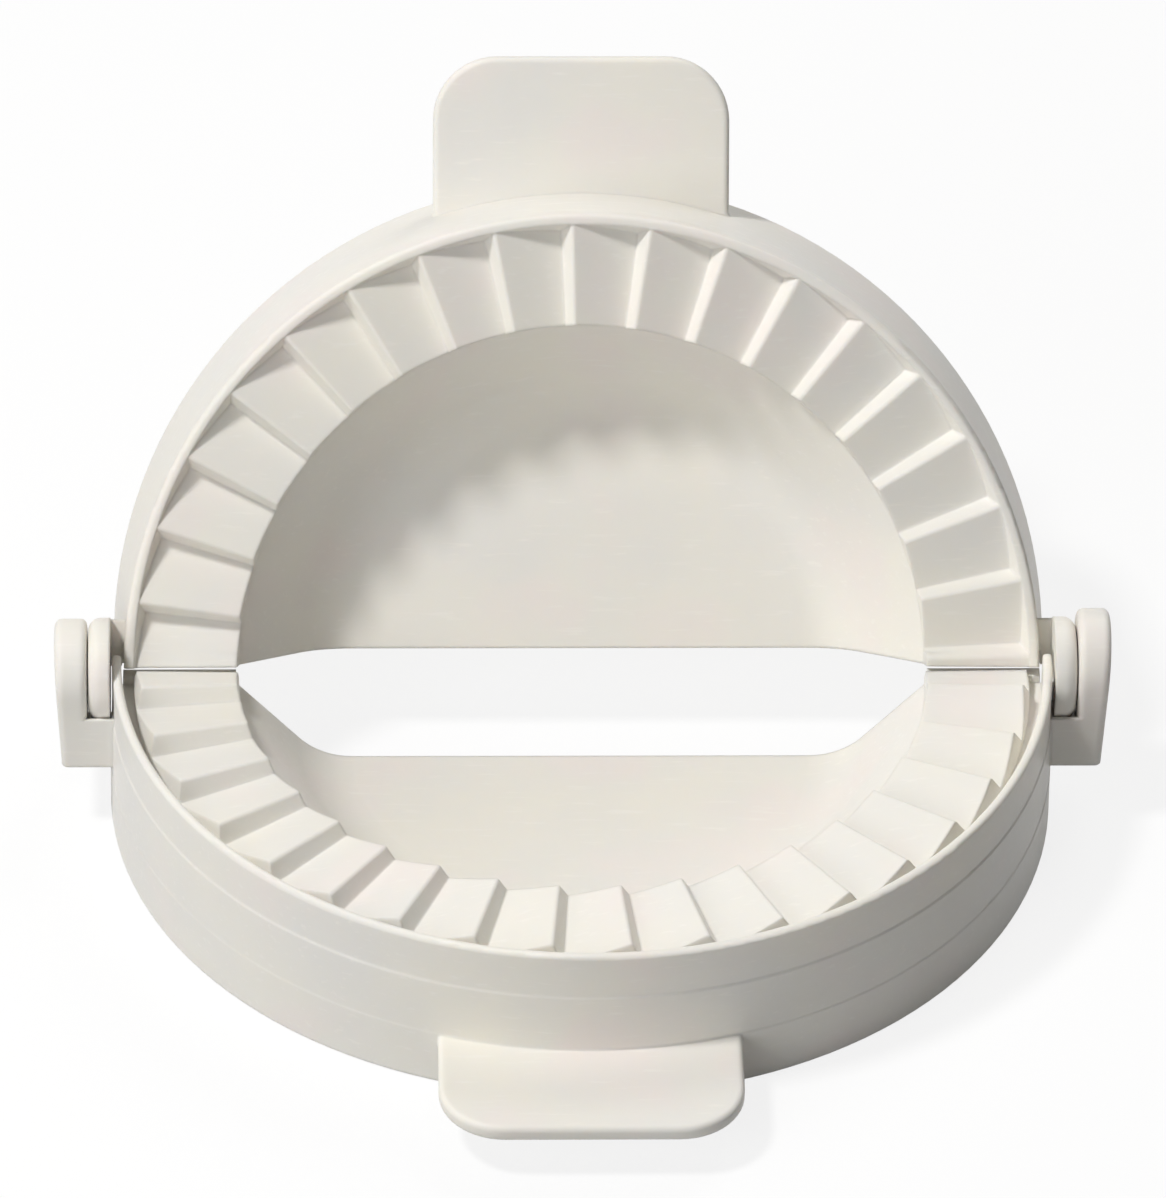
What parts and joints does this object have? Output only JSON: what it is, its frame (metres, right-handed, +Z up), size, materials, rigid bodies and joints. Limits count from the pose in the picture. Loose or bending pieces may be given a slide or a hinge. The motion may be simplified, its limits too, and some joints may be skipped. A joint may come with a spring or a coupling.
{
  "type": "empanada press",
  "caption": "Hinged half-disc press that folds a dough disc over its filling in two half bowls and crimps the edge between slanted teeth.",
  "frame": {"origin": "middle of the part's outline at table height, with the upper jaw half open as pictured", "axes": "+Z up; +X along the hinge axis, to the right as seen from the lower finger tab; +Y from the lower tab towards the raised upper jaw"},
  "size_m": [0.1346, 0.1243, 0.0818],
  "materials": {
    "moulded_plastic": "satin",
    "pin_plastic": "satin"
  },
  "bodies": {
    "lower": {"lower_jaw": "moulded_plastic", "hinge_pin_left": "pin_plastic", "hinge_pin_right": "pin_plastic"},
    "upper": {"upper_jaw": "moulded_plastic"}
  },
  "joints": [
    {"name": "jaw_hinge", "type": "hinge", "parent": "lower", "child": "upper", "pos_m": [0, 0.01292, 0.0201], "axis": [1, 0, 0], "range_deg": [-61.7, 118.3]}
  ]
}
